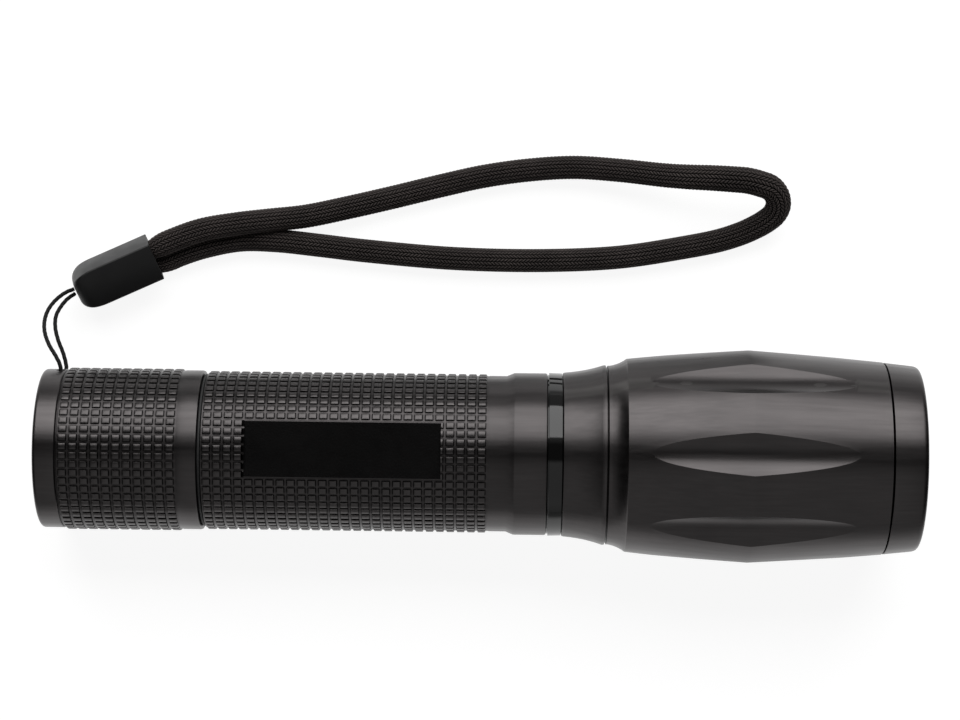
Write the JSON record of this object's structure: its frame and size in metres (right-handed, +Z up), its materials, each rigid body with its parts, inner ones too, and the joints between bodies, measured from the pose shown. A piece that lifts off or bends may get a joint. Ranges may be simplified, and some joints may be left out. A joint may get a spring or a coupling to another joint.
{
  "type": "tactical flashlight",
  "caption": "Black aluminium zoom torch with a knurled grip, fluted sliding head, screw-off tail cap with a push button, and a braided wrist strap.",
  "frame": {"origin": "on the surface the torch lies on, under the middle of the torch without its strap", "axes": "+Z up, +X towards the light end, +Y towards the side where the strap lies; the torch's axis leans 2 degrees up towards +X because the head is wider than the tail"},
  "size_m": [0.1463, 0.0692, 0.0349],
  "materials": {
    "black_anodised": "satin black anodised",
    "bare_aluminium": "machined",
    "gloss_plastic": "glossy black moulded",
    "dark_plastic": "matt black moulded",
    "clip_plastic": "satin black moulded",
    "white_plastic": "matt white moulded",
    "rubber": "matt black",
    "nickel": "nickel plated",
    "brass": "machined",
    "circuit_board": "green solder mask",
    "cell_jacket": "printed film sleeve, satin, no lettering",
    "lamp_board": "white solder mask on aluminium",
    "lamp_phosphor": "yellow phosphor under a clear dome",
    "lens_clear": "clear moulded acrylic lens",
    "braid": "black braided nylon",
    "thread": "black twisted nylon"
  },
  "bodies": {
    "root": {"battery_tube": "black_anodised", "cap_seal_oring": "rubber", "battery_carrier": "dark_plastic", "cell_1": "cell_jacket", "cell_2": "cell_jacket", "cell_3": "cell_jacket", "carrier_negative_contact": "nickel", "carrier_positive_contact": "nickel", "driver_spring": "nickel", "driver_board": "circuit_board", "pill": "bare_aluminium", "pill_oring": "rubber", "led_board": "lamp_board", "led_emitter": "lamp_phosphor"},
    "focus_bush": {"guide_bush": "gloss_plastic"},
    "head": {"head_shell": "black_anodised", "lens": "lens_clear", "lens_oring": "rubber", "bezel": "black_anodised"},
    "cap_carriage": {"tail_spring": "nickel"},
    "tail_cap": {"tail_cap": "black_anodised", "switch_housing": "dark_plastic", "switch_spring": "nickel", "switch_board": "circuit_board", "switch_retaining_ring": "brass", "strap_clip": "clip_plastic", "strap_cord": "braid", "strap_thread_loop": "thread"},
    "button": {"button_boot": "rubber", "switch_plunger": "white_plastic"}
  },
  "joints": [
    {"name": "focus_slide", "type": "slide", "parent": "root", "child": "focus_bush", "axis": [0.9993, 0, 0.0362], "range_m": [0, 0.0105]},
    {"name": "head_turn", "type": "hinge", "parent": "focus_bush", "child": "head", "pos_m": [0.03743, 0, 0.01722], "axis": [0.9993, 0, 0.0362], "continuous": true},
    {"name": "tail_cap_advance", "type": "slide", "parent": "root", "child": "cap_carriage", "axis": [-0.9993, 0, -0.0362], "range_m": [0, 0.009]},
    {"name": "tail_cap_turn", "type": "hinge", "parent": "cap_carriage", "child": "tail_cap", "pos_m": [-0.05951, 0, 0.0137], "axis": [-0.9993, 0, -0.0362], "range_deg": [0, 2160]},
    {"name": "button_press", "type": "slide", "parent": "tail_cap", "child": "button", "axis": [0.9993, 0, 0.0362], "range_m": [0, 0.0014], "stiffness_N_per_m": 700, "springref_m": -0.001, "deforming": ["switch_spring"]}
  ],
  "couplings": [
    {"joint": "tail_cap_advance", "follows": "tail_cap_turn", "m_per_rad": 0.0002387}
  ]
}
